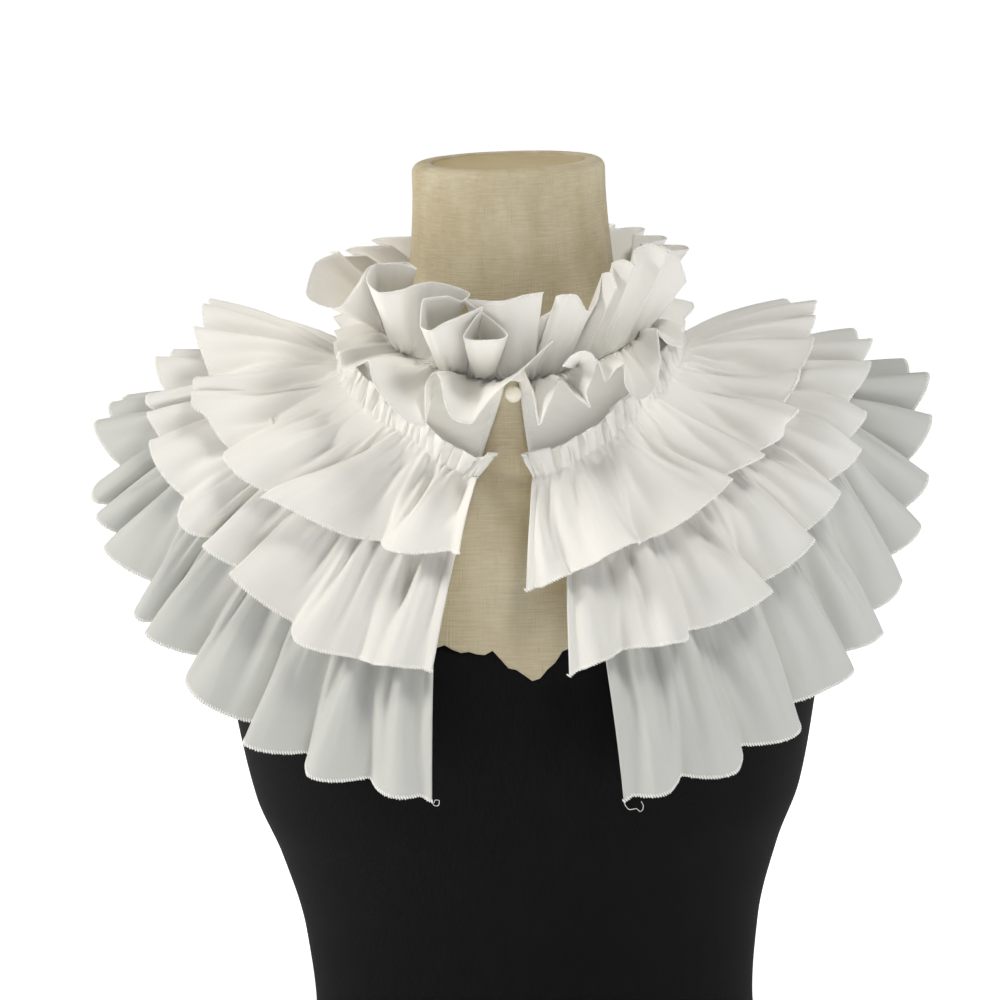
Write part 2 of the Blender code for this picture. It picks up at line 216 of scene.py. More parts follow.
def grid_piece(name, grid, flat, material):
    """An object with a grid of points in millimetres, and flat, its points laid flat, as its UV map."""
    mesh = bpy.data.meshes.new(name)
    mesh.from_pydata((grid.reshape(-1, 3) * MM).tolist(), [], grid_faces(grid))
    corners = np.zeros(len(mesh.loops), np.int32)
    mesh.loops.foreach_get("vertex_index", corners)
    layer = mesh.uv_layers.new(name="flat")
    layer.data.foreach_set("uv", (flat.reshape(-1, 2)[corners] * MM).astype(np.float32).ravel())
    mesh.materials.append(material)
    mesh.shade_smooth()
    return placed(name, mesh)


def joined(piece):
    """Closes the seam of a piece that goes all round, and its poles, and turns its faces outwards."""
    shape = bmesh.new()
    shape.from_mesh(piece.data)
    bmesh.ops.remove_doubles(shape, verts=shape.verts, dist=1e-6)
    bmesh.ops.holes_fill(shape, edges=shape.edges)
    bmesh.ops.recalc_face_normals(shape, faces=shape.faces)
    shape.to_mesh(piece.data)
    shape.free()
    return piece


def flat_ring(height):
    """A ring round the form laid out flat, at this height."""
    return np.stack(np.broadcast_arrays(-FORM_TURNS * CLOTH_PER_DEGREE, height), axis=-1)


# Black cotton jersey, rib knitted: dull, with faint upright ribs 1.3 mm apart, and a little lint
jersey, tree, shader = finish("black rib jersey", 0.92)
place = add(tree, "ShaderNodeUVMap", uv_map="flat")
ribs = add(tree, "ShaderNodeTexWave", {"Vector": place.outputs[0], "Scale": 250, "Distortion": 0.6})
lint = add(tree, "ShaderNodeTexNoise", {"Vector": place.outputs[0], "Scale": 55, "Detail": 4})
relief = add(tree, "ShaderNodeBump", {"Height": ribs.outputs["Fac"], "Strength": 0.35, "Distance": 0.0006})
surface(tree, shader, ramp(tree, lint, "020203", "07080a"), relief)
shader.inputs["Specular IOR Level"].default_value = 0.25

body_heights = np.concatenate([[0.0, 0.0, 0.7, 3.0], np.linspace(8, 452, 100)])
grid = np.array([on_form(FORM_TURNS, height, 0.0) for height in body_heights])
flat = np.array([flat_ring(height) for height in body_heights])
grid[0] *= ON_AXIS
grid[1] *= ROUNDED_IN
grid[-1] *= ROUNDED_IN
grid = np.concatenate([grid, grid[-1:] * ON_AXIS])
flat = np.concatenate([flat, flat[-1:]])
form_body = joined(grid_piece("dress_form_body", grid, flat, jersey))
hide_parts("form_body")
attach(form_body, "root")


# The dress form's bust
# Natural linen, pasted over the shell from the neck down to the chest and folded in over the rim.
# Its lower edge is torn, and lies over the black jersey at the centre front.

RIM_RADIUS = 5.0
CAP_RADIUS = 41.5
TORN_LIFT = 0.55
TORN_TOP = 480.0
RIM_STEP = 1.4
INNER_STEP = 3.0
# Each row: azimuth, height
TORN_EDGE = (
    (-180, 447), (-60, 447), (-40, 450), (-28, 453), (-22, 453), (-15, 449), (-9, 450), (-5, 443), (0, 437),
    (4, 434), (7, 440), (11, 449), (17, 452), (26, 450), (60, 447), (180, 447),
)

# Slubby natural linen: uneven threads about 1 mm apart, mostly level, with a few upright dark slubs
linen, tree, shader = finish("natural slub linen", 0.88)
place = add(tree, "ShaderNodeUVMap", uv_map="flat")
level = add(tree, "ShaderNodeMapping", {"Vector": place.outputs[0], "Scale": (30, 1100, 1)})
threads = add(
    tree, "ShaderNodeTexNoise", {"Vector": level.outputs[0], "Scale": 1.0, "Detail": 3, "Roughness": 0.7}
)
upright = add(tree, "ShaderNodeMapping", {"Vector": place.outputs[0], "Scale": (900, 45, 1)})
warp = add(tree, "ShaderNodeTexNoise", {"Vector": upright.outputs[0], "Scale": 1.0, "Detail": 2})
stain = add(
    tree, "ShaderNodeTexNoise", {"Vector": place.outputs[0], "Scale": 16, "Detail": 5, "Roughness": 0.6}
)
tone = ramp(tree, threads, "c2b697", "e0d7bf", 0.15, 0.85)
patch = ramp(tree, stain, "e4dccb", "ffffff", 0.35, 0.65)
mixed = add(tree, "ShaderNodeMix", {0: 0.75}, data_type="RGBA", blend_type="MULTIPLY")
tree.links.new(tone, mixed.inputs["A"])
tree.links.new(patch, mixed.inputs["B"])
slub = add(tree, "ShaderNodeMath", {0: warp.outputs["Fac"], 1: 0.72}, operation="GREATER_THAN")
slubbed = add(tree, "ShaderNodeMix", {0: slub.outputs[0]}, data_type="RGBA", blend_type="MIX")
tree.links.new(mixed.outputs["Result"], slubbed.inputs["A"])
slubbed.inputs["B"].default_value = linear("b0a283")
height = add(tree, "ShaderNodeMath", {0: threads.outputs["Fac"], 1: warp.outputs["Fac"]}, operation="ADD")
relief = add(tree, "ShaderNodeBump", {"Height": height.outputs[0], "Strength": 0.8, "Distance": 0.0006})
surface(tree, shader, slubbed.outputs["Result"], relief)
shader.inputs["Specular IOR Level"].default_value = 0.2


def torn_height(azimuth):
    rows = np.array(TORN_EDGE, float)
    turned = (azimuth + 180.0) % 360.0 - 180.0
    rough = 0.7 * np.sin(turned * 1.9) + 0.5 * np.sin(turned * 4.7 + 1.0)
    return np.interp(turned, rows[:, 0], rows[:, 1]) + rough


edge = torn_height(FORM_TURNS)
bust_rows = []
bust_flat = []
for share in np.linspace(0, 1, 20):
    heights = edge + (TORN_TOP - edge) * share
    bust_rows.append(on_form(FORM_TURNS, heights, TORN_LIFT if share < 1 else 0.3))
    bust_flat.append(flat_ring(heights))
for height in np.concatenate([np.linspace(484, 640, 90), np.linspace(643, FORM_HEIGHT - RIM_RADIUS, 20)]):
    bust_rows.append(on_form(FORM_TURNS, height, 0.0))
    bust_flat.append(flat_ring(height))
rim_ring = bust_rows[-1]
for turn in np.linspace(15, 90, 6):
    inset = RIM_RADIUS * (1 - math.cos(math.radians(turn)))
    lift = RIM_RADIUS * math.sin(math.radians(turn))
    reach = np.linalg.norm(rim_ring[:, :2], axis=1, keepdims=True)
    ring = rim_ring.copy()
    ring[:, :2] *= (reach - inset) / reach
    ring[:, 2] += lift
    bust_rows.append(ring)
    bust_flat.append(bust_flat[-1] + (0.0, RIM_STEP))
for beside, under in ((1.2, 0.0), (0.4, 0.6), (0.4, 2.6)):
    bust_rows.append(around(FORM_TURNS, CAP_RADIUS + beside, FORM_HEIGHT - under))
    bust_flat.append(bust_flat[-1] + (0.0, INNER_STEP))
bust_rows.append(bust_rows[-1] * ON_AXIS)
bust_flat.append(bust_flat[-1] + (0.0, INNER_STEP))
under = on_form(FORM_TURNS, edge + 1.0, -2.0)
bust_rows = [under * ON_AXIS, under] + bust_rows
bust_flat = [bust_flat[0], bust_flat[0]] + bust_flat
form_bust = joined(grid_piece("dress_form_bust", np.array(bust_rows)[::-1], np.array(bust_flat)[::-1], linen))
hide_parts("form_bust")
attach(form_bust, "root")


# The disc in the neck
# A varnished board let into the top of the neck, inside the folded linen rim.

# Varnished papier-mache board: a yellowish brown, slightly mottled, with a low shine
board, tree, shader = finish("varnished papier mache", 0.5)
place = add(tree, "ShaderNodeTexCoord")
mottle = add(tree, "ShaderNodeTexNoise", {"Vector": place.outputs["Object"], "Scale": 45, "Detail": 5})
relief = add(tree, "ShaderNodeBump", {"Height": mottle.outputs["Fac"], "Strength": 0.3, "Distance": 0.0008})
surface(tree, shader, ramp(tree, mottle, "a8915c", "cbb682"), relief)

DISC_UNDERSIDE = 697.4
DISC_TOP = 699.2
cap_rings = [
    (0.0, DISC_UNDERSIDE), (CAP_RADIUS, DISC_UNDERSIDE),
    (CAP_RADIUS, 698.6), (CAP_RADIUS - 0.8, DISC_TOP),
]
for reach in (34.0, 26.0, 18.0, 10.0, 4.0, 0.0):
    cap_rings.append((reach, DISC_TOP - 0.5 * (1 - reach / CAP_RADIUS)))
grid = np.array([around(FORM_TURNS, reach, height) for reach, height in cap_rings])
flat = np.array([np.stack([-FORM_TURNS, FORM_TURNS * 0 + reach], axis=-1) for reach, _ in cap_rings])
form_cap = joined(grid_piece("neck_disc", grid, flat, board))
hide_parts("form_cap")
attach(form_cap, "root")


# The yoke
# A plain cape of the same white cotton, cut to lie flat on the shoulders. The tiers are gathered
# on to it, and its two front edges show as narrow hemmed borders below the button.

SEAM_COLUMNS = ("azimuth", "neck", "tier_1", "tier_2", "tier_3")
SEAM_LEVELS = (
    (0, 589, 542, 503, 458),
    (25, 592, 548, 508, 464),
    (50, 599, 564, 532, 497),
    (72, 607, 581, 562, 541),
    (90, 613, 590, 577, 563),
    (110, 616, 588, 573, 557),
    (135, 620, 583, 556, 525),
    (180, 625, 584, 543, 497),
)
FRONT_EDGES = ((-3.5, 1.5), (-15, 5.5), (-20, 15), (-25, 22))
YOKE_LIFT = 2.0
YOKE_EDGE = 3.0
YOKE_COLUMNS = 321
YOKE_BAND = 45.0
CLOTH = 0.45
CURVE_STEPS = 600

# Crisp cotton lawn: white, matt, in a plain weave drawn 0.7 mm apart so that it is just visible
cotton, tree, shader = finish("white cotton lawn", 0.85)
place = add(tree, "ShaderNodeUVMap", uv_map="flat")
waves = {"Vector": place.outputs[0], "Scale": 450, "Distortion": 1.5, "Detail": 2}
weft = add(tree, "ShaderNodeTexWave", waves)
warp = add(tree, "ShaderNodeTexWave", waves, bands_direction="Y")
weave = add(tree, "ShaderNodeMath", {0: weft.outputs["Fac"], 1: warp.outputs["Fac"]}, operation="ADD")
creased = add(tree, "ShaderNodeMapping", {"Vector": place.outputs[0], "Scale": (110, 24, 1)})
crumple = add(
    tree, "ShaderNodeTexNoise",
    {"Vector": creased.outputs[0], "Scale": 1.0, "Detail": 4, "Roughness": 0.55},
)
# Each piece is painted a cool grey by its own share, read here: painted shade, greyest on the lowest tier,
# and partly the darker layers under the thin cloth showing faintly.
shade_and_show_through = add(tree, "ShaderNodeAttribute", attribute_name="shade_and_show_through")
shown = add(tree, "ShaderNodeMix", {0: shade_and_show_through.outputs["Fac"]}, data_type="RGBA", blend_type="MIX")
shown.inputs["B"].default_value = linear("a3a9a6")
tree.links.new(ramp(tree, crumple, "f1eee8", "f8f6f1"), shown.inputs["A"])
fine = add(tree, "ShaderNodeBump", {"Height": weave.outputs[0], "Strength": 0.12, "Distance": 0.0002})
relief = add(
    tree, "ShaderNodeBump",
    {
        "Height": crumple.outputs["Fac"], "Normal": fine.outputs["Normal"],
        "Strength": 0.35, "Distance": 0.0012,
    },
)
surface(tree, shader, shown.outputs["Result"], relief)
shader.inputs["Specular IOR Level"].default_value = 0.2
shader.inputs["Sheen Weight"].default_value = 0.1


def seam_height(azimuth, line):
    """Height of the neck seam or a gather line at each azimuth."""
    rows = np.array(SEAM_LEVELS, float)
    return smooth(np.abs(azimuth), rows[:, 0], rows[:, SEAM_COLUMNS.index(line)])


def evenly_spaced(points, count=CURVE_STEPS):
    """The same open curve with its points a constant length apart, and its length."""
    lengths = np.concatenate([[0], np.cumsum(np.linalg.norm(np.diff(points, axis=0), axis=1))])
    wanted = np.linspace(0, lengths[-1], count)
    return np.stack([np.interp(wanted, lengths, points[:, k]) for k in range(3)], axis=-1), lengths[-1]


def cloth(name, grid, flat, shade_and_show_through):
    """A thin shell of white cotton that stands for the node of this name.

    Its last argument, from 0 to 1 at each point, is how much the cloth is painted grey: painted shade, and
    partly what lies under the thin cloth showing faintly.
    """
    piece = grid_piece("cotton_" + name, grid, flat, cotton)
    shade_and_show_share = np.broadcast_to(shade_and_show_through, grid.shape[:2]).astype(np.float32)
    piece.data.attributes.new("shade_and_show_through", "FLOAT", "POINT").data.foreach_set("value", shade_and_show_share.ravel())
    wall = piece.modifiers.new("cloth thickness", "SOLIDIFY")
    wall.thickness = CLOTH * MM
    wall.offset = 0.0
    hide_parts(name)
    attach(piece, "root")
    return piece


yoke_rows = []
yoke_flat = []
for t in np.linspace(0, 3, 46):
    edges = [
        float(smooth(np.array(t), np.arange(4.0), np.array(FRONT_EDGES, float)[:, side])) for side in (0, 1)
    ]
    azimuth = (np.linspace(edges[0], edges[1] - 360.0, CURVE_STEPS) + 180.0) % 360.0 - 180.0
    above = int(min(t, 2))
    high, low = (seam_height(azimuth, SEAM_COLUMNS[1 + above + k]) for k in (0, 1))
    height = high + (low - high) * (t - above) + YOKE_EDGE * max(0.0, 1.0 - t)
    row, length = evenly_spaced(on_form(azimuth, height, YOKE_LIFT), YOKE_COLUMNS)
    yoke_rows.append(row)
    along = np.linspace(-length / 2, length / 2, YOKE_COLUMNS)
    yoke_flat.append(np.stack([along, np.full(YOKE_COLUMNS, -t * YOKE_BAND)], axis=-1))
yoke_grid = np.array(yoke_rows)
# The yoke is painted a little grey: painted shade under the tiers, and partly the linen under it showing
# faintly.
yoke = cloth("yoke", yoke_grid, np.array(yoke_flat), shade_and_show_through=0.14)


# The lowest tier
# A straight strip of cotton, overlocked along its hem and gathered to the yoke, so that it falls in
# deep uneven flutes. It is the widest of the three and stands out over the shoulders.

# Each row of a hem: azimuth, reach, height
TIER_3_HEM = (
    (-19, 156, 382), (-32, 165, 386), (-44, 178, 395), (-54, 191, 409), (-63, 205, 434),
    (-72, 218, 459), (-81, 229, 484), (-88, 238, 511), (-95, 245, 538), (-103, 247, 557),
    (-112, 241, 561), (-125, 222, 527), (-142, 190, 460), (-161, 162, 422), (180, 154, 414),
    (161, 162, 422), (143, 187, 460), (127, 218, 525), (114, 240, 566), (105, 245, 570),
    (100, 242, 543), (96, 236, 512), (91, 226, 482), (87, 214, 454), (80, 203, 434),
    (71, 190, 419), (61, 178, 401), (50, 167, 388), (36, 156, 379), (20, 149, 376),
)
# Each row of folds: width, depth, lap
TIER_3_LEFT = (
    (38, 9, 0.00), (40, 13, 0.10), (34, 15, 0.22), (56, 14, 0.12), (32, 16, 0.22), (28, 15, -0.10),
    (34, 17, 0.28), (30, 16, 0.12), (32, 16, -0.22), (36, 16, 0.20),
)
TIER_3_RIGHT = (
    (38, 8, 0.00), (42, 10, 0.05), (40, 12, 0.14), (40, 15, 0.34), (34, 16, 0.36), (38, 16, 0.34),
    (34, 16, 0.36), (34, 16, 0.30), (34, 16, 0.34), (34, 16, 0.20), (34, 16, 0.28),
)
SEAM_GAP = 0.35
SEAM_GATHER = 2.8
SOLID_CLOTH = 1.2
FACET_ROOM = 0.5
LAYER_GAP = 4.0
BESIDE_EDGE = 0.6
CREST_LIFT = YOKE_LIFT + SOLID_CLOTH + SEAM_GAP + SEAM_GATHER
FINE_COLUMNS = 1161
TOUCHING = 0.9
FOLD_DROP = 1.4
HEM_LIFT = 0.55


def gather_curve(line, lift, lowered=((-180, 0), (180, 0)), edges=None):
    """The gather line on the yoke, from the left front edge round the back to the right one.

    lowered is how far the line runs below the yoke's own seam at some azimuths.
    """
    left, right = edges or FRONT_EDGES[SEAM_COLUMNS.index(line) - 1]
    azimuth = (np.linspace(left, right - 360.0, CURVE_STEPS) + 180.0) % 360.0 - 180.0
    turns, depths = np.array(lowered, float).T
    height = seam_height(azimuth, line) - smooth(azimuth, turns, depths)
    return evenly_spaced(on_form(azimuth, height, lift))


def table_curve(table):
    """A smooth open curve passing the rows of a hem table."""
    rows = np.array(table, float)
    azimuths = np.unwrap(rows[:, 0], period=360.0)
    along = np.arange(len(rows), dtype=float)
    steps = np.linspace(0, len(rows) - 1, CURVE_STEPS)
    return evenly_spaced(around(*(smooth(steps, along, ys) for ys in (azimuths, rows[:, 1], rows[:, 2]))))


def at(curve, u):
    """Points of an evenly spaced curve at shares u of its length."""
    share = np.linspace(0, 1, len(curve))
    return np.stack([np.interp(u, share, curve[:, k]) for k in range(3)], axis=-1)


def turned_shares(curve):
    """Shares of a curve's length at which it passes the left side, the back and the right side."""
    azimuth = np.degrees(np.unwrap(np.arctan2(curve[:, 0], -curve[:, 1])))
    return [0.0, *np.interp([95.0, 180.0, 265.0], -azimuth, np.linspace(0, 1, len(curve))), 1.0]


def matched(curve, guide, places):
    """Points of a curve at the same turns about the form as these places on its guide."""
    return at(curve, np.interp(places, turned_shares(guide), turned_shares(curve)))


def unit(vectors):
    return vectors / np.linalg.norm(vectors, axis=-1, keepdims=True)


def across_grid(grid):
    """Unit normals of a grid of points, pointing out of the collar."""
    return unit(np.cross(np.gradient(grid, axis=1), np.gradient(grid, axis=0)))


def crest_surface(seam, hem, shares, places, belly):
    """The surface on which a frill's crests lie: a row for each share of its width, from seam to hem."""
    top, bottom = matched(seam, hem, places), at(hem, places)
    rows = np.array([top + (bottom - top) * share for share in shares])
    rise = np.array([belly * 4 * share * (1 - share) for share in shares])
    return rows + across_grid(rows) * rise[:, None, None]


def search(surface):
    """What finds the nearest point of a surface, or the point that a ray meets."""
    return BVHTree.FromPolygons(surface.reshape(-1, 3).tolist(), grid_faces(surface))


def keep_clear(grid, layers, room=0.0):
    """Moves points out until each is this far above each (surface, distance) below it."""
    share = np.linspace(0.0, 1.0, len(grid))
    for surface, distance in layers:
        below = search(surface)
        for row, extra in zip(grid, room * share):
            for point in row:
                spot, normal, _, away = below.find_nearest(Vector(point))
                above = (Vector(point) - spot).dot(normal)
                if above < distance + extra and abs(above) > BESIDE_EDGE * away:
                    point += np.array(normal) * (distance + extra - above)
    return grid


def blurred(grid, times, axis):
    """The grid with its points averaged with their neighbours along one axis, its ends kept."""
    grid = np.moveaxis(grid.copy(), axis, 0)
    for _ in range(times):
        grid[1:-1] = 0.25 * grid[:-2] + 0.5 * grid[1:-1] + 0.25 * grid[2:]
    return np.moveaxis(grid, 0, axis)


def refined(grid, shares, fine_shares, columns):
    """A coarse grid drawn finely: a smooth curve down each column and a blurred one along each row."""
    known = np.vander(shares, 5)
    wanted = np.vander(fine_shares, 5)
    grid = np.tensordot(wanted @ np.linalg.pinv(known), grid, axes=1)
    places = np.linspace(0, 1, grid.shape[1])
    fine = np.linspace(0, 1, columns)
    drawn = np.stack(
        [[np.interp(fine, places, row[:, k]) for k in range(3)] for row in grid]
    ).transpose(0, 2, 1)
    return blurred(drawn, 24, axis=1)


def fold_list(length, left, right, back_width, depth, seed):
    """(width, depth, lap) of each fold, from the left front edge round the back to the right one.

    A fold's lap is how far its crest leans over the next fold, as a share of its width.
    """
    uneven = np.random.default_rng(seed)
    back = length - sum(row[0] for row in left) - sum(row[0] for row in right)
    count = max(1, round(back / back_width))
    widths = 1 + 0.22 * uneven.uniform(-1, 1, count)
    widths = widths * back / widths.sum()
    behind = [
        (width, depth * min(1.0, width / back_width) * uneven.uniform(0.7, 1.1), uneven.uniform(-0.25, 0.25))
        for width in widths
    ]
    return [*left, *behind, *((width, deep, -lap) for width, deep, lap in reversed(right))]


def ease(x):
    x = np.clip(x, 0.0, 1.0)
    return x * x * (3 - 2 * x)


def dip(x, sharpness):
    """A row of narrow valleys, one for each whole number, from 0 to 1 deep."""
    return ((1 + np.cos(2 * np.pi * x)) / 2) ** sharpness


def drift(u, waves, uneven):
    """A smooth uneven curve along the strip, from about -1 to 1."""
    return sum(np.sin(2 * np.pi * (waves * k * u + uneven.uniform())) / k for k in (1.0, 1.7, 2.9)) / 1.6


def room_below(grid, normal, layers):
    """How far each point can sink before it comes to rest on the (surface, distance) layers below."""
    room = np.full(grid.shape[:2], 60.0)
    for surface, distance in layers:
        below = search(surface)
        for place in np.ndindex(room.shape):
            depth = below.ray_cast(Vector(grid[place]), Vector(-normal[place]))[3]
            if depth is not None:
                room[place] = min(room[place], max(depth - distance, 0.0))
    return room


def fluted(base, shares, folds, seed, gathers, under, pinched):
    """A smooth surface let down into folds that grow from fine gathers at share 0 to the hem.

    under lists the layers that the folds come to rest on.
    """
    uneven = np.random.default_rng(seed + 100)
    v = np.array(shares)[:, None]
    u = np.linspace(0, 1, base.shape[1])[None, :]
    widths, deep, laps = np.array(folds).T
    span = widths.sum()
    edges = np.concatenate([[0], np.cumsum(widths)]) / span
    ends = ease(u * span / 7.0) * ease((1 - u) * span / 7.0)
    wander = 0.22 * widths.mean() / span * drift(u + 0.006 * v, len(folds) / 2.5, uneven)
    place = np.clip(u + wander * ease((1 - v) * 1.4) * ends, 0, 1)
    k = np.clip(np.searchsorted(edges, place, side="right") - 1, 0, len(folds) - 1)
    t = (place - edges[k]) / (edges[k + 1] - edges[k])
    lap = laps[k]
    top = np.clip(0.5 + 0.85 * lap, 0.2, 0.8)
    side = np.where(t < top, t / top, (1 - t) / (1 - top))
    crest = np.sin(np.pi / 2 * np.clip(side, 0, 1)) ** 0.78
    centres = (edges[:-1] + edges[1:]) / 2
    grow = 0.03 + 0.97 * v**0.9
    drop = FOLD_DROP * np.interp(place, centres, deep) * (1 - crest) * grow * (0.3 + 0.7 * ends)
    slide = lap * widths[k] * crest**1.4 * v**1.1 * ends
    # Each fold parts into two, and then into the fine gathers at the stitches
    fold = k + t
    second = 2 * fold + 0.22 * drift(u, len(folds) / 3, uneven) + 0.5
    third = gathers * u + 0.28 * drift(u, gathers / 4, uneven)
    fading = 0.26 + 0.13 * drift(u, gathers / 3, uneven) + 0 * v
    pucker = -2.6 * dip(third, 1.2) * np.exp(-(v / np.maximum(fading, 0.06)) ** 2)
    pucker -= 3.0 * dip(third / 2 + 0.25, 1.8) * ease(v / 0.08) * np.exp(-(v / (1.8 * fading)) ** 2)
    parted = (6.8 + 3.2 * drift(u, len(folds) / 2, uneven)) * dip(second, 2.6)
    pucker -= parted * ease(v / 0.12) * np.exp(-(v / 0.76) ** 2)
    creases = np.zeros_like(pucker)
    for _ in range(len(folds) * 4):
        middle, slant = uneven.uniform(0, 1), uneven.uniform(-0.5, 0.5)
        reach, size = uneven.uniform(0.35, 1.05), uneven.uniform(0.5, 2.4)
        wide = uneven.uniform(1.5, 3.2)
        away = np.abs((u - middle) * span * (0.45 + 0.55 * v) - slant * 14 * v)
        creases -= size * np.exp(-away / wide) * ease(v / 0.08) * ease((reach - v) / 0.35)
    roll = -pinched * np.exp(-(v / 0.045) ** 2)
    normal = across_grid(base)
    along = unit(np.gradient(base, axis=1))
    push = np.maximum(-drop + (pucker + creases) * ends + roll, -room_below(base, normal, under))
    upward = unit(base[0] - base[-1])[None, :, :]
    lifted = HEM_LIFT * drop * v**2 * ends
    moved = normal * push[:, :, None] + along * slide[:, :, None] + upward * lifted[:, :, None]
    return blurred(base + moved, 2, axis=1)


def strip_flat(grid, shares, width):
    """The points of a frill laid out flat, as far along as its hem is long."""
    longest = max(np.linalg.norm(np.diff(row, axis=0), axis=1).sum() for row in grid)
    u = np.linspace(0, longest, grid.shape[1])
    return np.stack(np.broadcast_arrays(u[None, :], -np.array(shares)[:, None] * width), axis=-1)


COARSE_SHARES = np.linspace(0, 1, 9)
COARSE_PLACES = np.linspace(0, 1, 181)
FINE_SHARES = np.concatenate(
    [np.linspace(0, 0.26, 12), np.linspace(0.30, 0.94, 17), np.linspace(0.965, 1, 3)]
)


# Bulky polyester thread: soft white and a little brighter than the cloth, with a faint silk shine
thread, tree, shader = finish("white polyester thread", 0.6)
place = add(tree, "ShaderNodeTexCoord")
twist = add(tree, "ShaderNodeTexNoise", {"Vector": place.outputs["Object"], "Scale": 1800, "Detail": 2})
relief = add(tree, "ShaderNodeBump", {"Height": twist.outputs["Fac"], "Strength": 0.3, "Distance": 0.0002})
surface(tree, shader, ramp(tree, twist, "f1efe9", "fdfcf9"), relief)
shader.inputs["Sheen Weight"].default_value = 0.15

THREAD_RADIUS = 0.17
YOKE_STITCH_LIFT = (0.0, -0.35, 0.1)
YOKE_STITCH_INSET = 3.0
YOKE_STITCH_ROWS = 16

# Stitches: short thick threads, evenly spaced along a sewn line and laid slantwise across it
stitching = bpy.data.node_groups.new("stitches", "GeometryNodeTree")
stitching.interface.new_socket("Line", in_out="INPUT", socket_type="NodeSocketGeometry")
for label in ("Spacing", "Across", "Along", "Thickness", "Slant"):
    stitching.interface.new_socket(label, in_out="INPUT", socket_type="NodeSocketFloat")
stitching.interface.new_socket("Seed", in_out="INPUT", socket_type="NodeSocketInt")
stitching.interface.new_socket("Thread", in_out="INPUT", socket_type="NodeSocketMaterial")
stitching.interface.new_socket("Stitches", in_out="OUTPUT", socket_type="NodeSocketGeometry")
given = add(stitching, "NodeGroupInput")
line = add(stitching, "GeometryNodeMeshToCurve", {"Mesh": given.outputs["Line"]})
even = add(
    stitching, "GeometryNodeResampleCurve",
    {"Curve": line.outputs["Curve"], "Length": given.outputs["Spacing"]}, mode="LENGTH",
)
points = add(stitching, "GeometryNodeCurveToPoints", {"Curve": even.outputs["Curve"]}, mode="EVALUATED")
out = add(stitching, "GeometryNodeInputNamedAttribute", {"Name": "out"}, data_type="FLOAT_VECTOR")
forward = add(
    stitching, "FunctionNodeAlignRotationToVector", {"Vector": points.outputs["Tangent"]}, axis="X"
)
facing = add(
    stitching, "FunctionNodeAlignRotationToVector",
    {"Rotation": forward.outputs["Rotation"], "Vector": out.outputs["Attribute"]}, axis="Y", pivot_axis="X",
)
slant = add(stitching, "ShaderNodeCombineXYZ", {"Z": given.outputs["Slant"]})
slant_turn = add(stitching, "FunctionNodeEulerToRotation", {"Euler": slant.outputs["Vector"]})
turned = add(
    stitching, "FunctionNodeRotateRotation",
    {"Rotation": facing.outputs["Rotation"], "Rotate By": slant_turn.outputs["Rotation"]},
    rotation_space="LOCAL",
)
size = add(
    stitching, "ShaderNodeCombineXYZ",
    {"X": given.outputs["Along"], "Y": given.outputs["Across"], "Z": given.outputs["Thickness"]},
)
share = add(
    stitching, "FunctionNodeRandomValue",
    {"Min": (0.85, 0.8, 0.9), "Max": (1.15, 1.2, 1.1), "Seed": given.outputs["Seed"]},
    data_type="FLOAT_VECTOR",
)
scale = add(
    stitching, "ShaderNodeVectorMath", {0: size.outputs["Vector"], 1: share.outputs["Value"]},
    operation="MULTIPLY",
)
grain = add(stitching, "GeometryNodeMeshUVSphere", {"Segments": 6, "Rings": 4, "Radius": 0.5})
laid = add(
    stitching, "GeometryNodeInstanceOnPoints",
    {
        "Points": points.outputs["Points"], "Instance": grain.outputs["Mesh"],
        "Rotation": turned.outputs["Rotation"], "Scale": scale.outputs["Vector"],
    },
)
real = add(stitching, "GeometryNodeRealizeInstances", {"Geometry": laid.outputs["Instances"]})
sewn = add(
    stitching, "GeometryNodeSetMaterial",
    {"Geometry": real.outputs["Geometry"], "Material": given.outputs["Thread"]},
)
add(stitching, "NodeGroupOutput", {"Stitches": sewn.outputs["Geometry"]})


def sew(name, points, out, **sizes):
    """Stitches along a line of points in millimetres. out points across the line, in the cloth."""
    mesh = bpy.data.meshes.new(name)
    mesh.from_pydata((points * MM).tolist(), [(k, k + 1) for k in range(len(points) - 1)], [])
    across = mesh.attributes.new("out", "FLOAT_VECTOR", "POINT")
    across.data.foreach_set("vector", out.astype(np.float32).ravel())
    sewing = placed(name, mesh)
    modifier = sewing.modifiers.new("stitches", "NODES")
    modifier.node_group = stitching
    for socket in stitching.interface.items_tree:
        if socket.in_out == "INPUT" and socket.name in sizes:
            modifier[socket.identifier] = sizes[socket.name]
        if socket.name == "Thread":
            modifier[socket.identifier] = thread
    evaluated = sewing.evaluated_get(bpy.context.evaluated_depsgraph_get())
    stitched = bpy.data.meshes.new_from_object(evaluated)
    stitched.name = name
    sewing.modifiers.clear()
    sewing.data = stitched
    stitched.shade_smooth()
    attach(sewing, "root")
    return sewing


def loose_thread(name, start, steps):
    """A frayed thread end, from a point on the hem via these steps away from it."""
    rows = np.array([start, *(np.array(start) + step for step in steps)], float)
    places = np.arange(len(rows), dtype=float)
    wanted = np.linspace(0, len(rows) - 1, 24)
    path = np.stack([smooth(wanted, places, rows[:, k]) for k in range(3)], axis=-1)
    along = unit(np.gradient(path, axis=0))
    across = unit(np.cross(along, (0.3, 0.2, 1.0)))
    above = np.cross(along, across)
    turns = np.radians(np.arange(0, 361, 60))
    tube = path[:, None] + THREAD_RADIUS * (
        across[:, None] * np.cos(turns)[None, :, None] + above[:, None] * np.sin(turns)[None, :, None]
    )
    flat = np.stack(np.broadcast_arrays(np.arange(24.0)[:, None], turns[None, :]), axis=-1)
    end = joined(grid_piece(name, tube, flat, thread))
    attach(end, "root")
    return end


